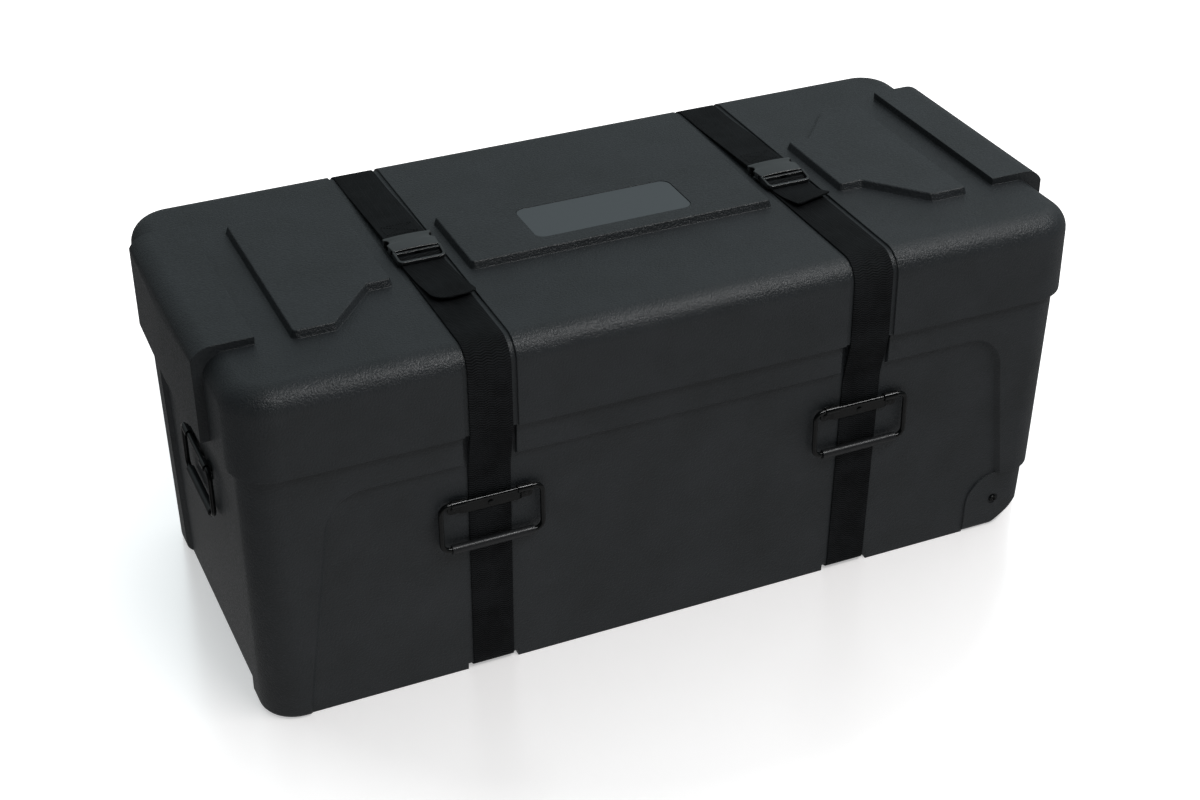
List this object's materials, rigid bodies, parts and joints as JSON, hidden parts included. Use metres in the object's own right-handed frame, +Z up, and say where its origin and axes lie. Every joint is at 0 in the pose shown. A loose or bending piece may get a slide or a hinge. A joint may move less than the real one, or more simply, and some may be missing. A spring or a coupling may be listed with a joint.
{
  "type": "drum hardware case",
  "caption": "Long moulded plastic case with a deep lift-off lid, webbing straps with side-release buckles, bail handles and corner wheels.",
  "frame": {"origin": "middle of the case on the plane that it stands on", "axes": "+X along the case towards the wheeled end, -Y out of the front with the two bail handles, +Z up through the lid"},
  "size_m": [1.052, 0.48, 0.4499],
  "materials": {
    "case_shell": "pebble-grained moulded polyethylene",
    "blank_plate": "bare satin grey plate",
    "webbing": "ribbed polypropylene webbing",
    "buckle_plastic": "satin black acetal",
    "black_steel": "glossy black coated steel",
    "plated_steel": "zinc-plated steel",
    "wheel_tyre": "matt black rubber",
    "wheel_hub": "moulded dark grey nylon"
  },
  "bodies": {
    "base": {"base_shell": "case_shell", "left_strap_base": "webbing", "right_strap_base": "webbing", "left_handle_bracket": "black_steel", "left_handle_rivets": "black_steel", "left_handle_backing_plate": "plated_steel", "right_handle_bracket": "black_steel", "right_handle_rivets": "black_steel", "right_handle_backing_plate": "plated_steel", "end_handle_bracket": "black_steel", "end_handle_rivets": "black_steel", "end_handle_backing_plate": "plated_steel", "front_wheel_washers": "plated_steel", "front_wheel_axle_bolt": "black_steel", "front_wheel_axle_nut": "plated_steel", "rear_wheel_washers": "plated_steel", "rear_wheel_axle_bolt": "black_steel", "rear_wheel_axle_nut": "plated_steel"},
    "lid": {"lid_shell": "case_shell", "label_plate": "blank_plate", "left_strap_rear": "webbing", "left_strap_front": "webbing", "left_buckle_socket": "buckle_plastic", "left_buckle_frame": "buckle_plastic", "right_strap_rear": "webbing", "right_strap_front": "webbing", "right_buckle_socket": "buckle_plastic", "right_buckle_frame": "buckle_plastic"},
    "left_buckle_prong_a": {"left_buckle_prong_a": "buckle_plastic"},
    "left_buckle_prong_b": {"left_buckle_prong_b": "buckle_plastic"},
    "right_buckle_prong_a": {"right_buckle_prong_a": "buckle_plastic"},
    "right_buckle_prong_b": {"right_buckle_prong_b": "buckle_plastic"},
    "left_handle_bail": {"left_handle_bail": "black_steel", "left_handle_grip": "black_steel"},
    "right_handle_bail": {"right_handle_bail": "black_steel", "right_handle_grip": "black_steel"},
    "end_handle_bail": {"end_handle_bail": "black_steel", "end_handle_grip": "black_steel"},
    "front_wheel": {"front_wheel_tyre": "wheel_tyre", "front_wheel_hub": "wheel_hub"},
    "rear_wheel": {"rear_wheel_tyre": "wheel_tyre", "rear_wheel_hub": "wheel_hub"}
  },
  "joints": [
    {"name": "lid_lift", "type": "slide", "parent": "base", "child": "lid", "axis": [0, 0, 1], "range_m": [0, 0.05]},
    {"name": "left_prong_a_squeeze", "type": "hinge", "parent": "lid", "child": "left_buckle_prong_a", "pos_m": [-0.252, -0.015, 0.4444], "axis": [0, 0, -1], "range_deg": [0, 8], "stiffness_Nm_per_rad": 0.15},
    {"name": "left_prong_b_squeeze", "type": "hinge", "parent": "lid", "child": "left_buckle_prong_b", "pos_m": [-0.212, -0.015, 0.4444], "axis": [0, 0, 1], "range_deg": [0, 8], "stiffness_Nm_per_rad": 0.15},
    {"name": "right_prong_a_squeeze", "type": "hinge", "parent": "lid", "child": "right_buckle_prong_a", "pos_m": [0.212, -0.015, 0.4444], "axis": [0, 0, -1], "range_deg": [0, 8], "stiffness_Nm_per_rad": 0.15},
    {"name": "right_prong_b_squeeze", "type": "hinge", "parent": "lid", "child": "right_buckle_prong_b", "pos_m": [0.252, -0.015, 0.4444], "axis": [0, 0, 1], "range_deg": [0, 8], "stiffness_Nm_per_rad": 0.15},
    {"name": "left_handle_swing", "type": "hinge", "parent": "base", "child": "left_handle_bail", "pos_m": [-0.232, -0.22923, 0.24476], "axis": [-1, 0, 0], "range_deg": [0, 160]},
    {"name": "right_handle_swing", "type": "hinge", "parent": "base", "child": "right_handle_bail", "pos_m": [0.232, -0.22923, 0.24476], "axis": [-1, 0, 0], "range_deg": [0, 160]},
    {"name": "end_handle_swing", "type": "hinge", "parent": "base", "child": "end_handle_bail", "pos_m": [-0.50403, 0, 0.24495], "axis": [0, 1, 0], "range_deg": [0, 160]},
    {"name": "front_wheel_spin", "type": "hinge", "parent": "base", "child": "front_wheel", "pos_m": [0.442, -0.1955, 0.042], "axis": [0, 1, 0], "continuous": true},
    {"name": "rear_wheel_spin", "type": "hinge", "parent": "base", "child": "rear_wheel", "pos_m": [0.442, 0.1955, 0.042], "axis": [0, 1, 0], "continuous": true}
  ],
  "couplings": [
    {"joint": "left_prong_b_squeeze", "follows": "left_prong_a_squeeze", "ratio": 1},
    {"joint": "right_prong_b_squeeze", "follows": "right_prong_a_squeeze", "ratio": 1}
  ]
}
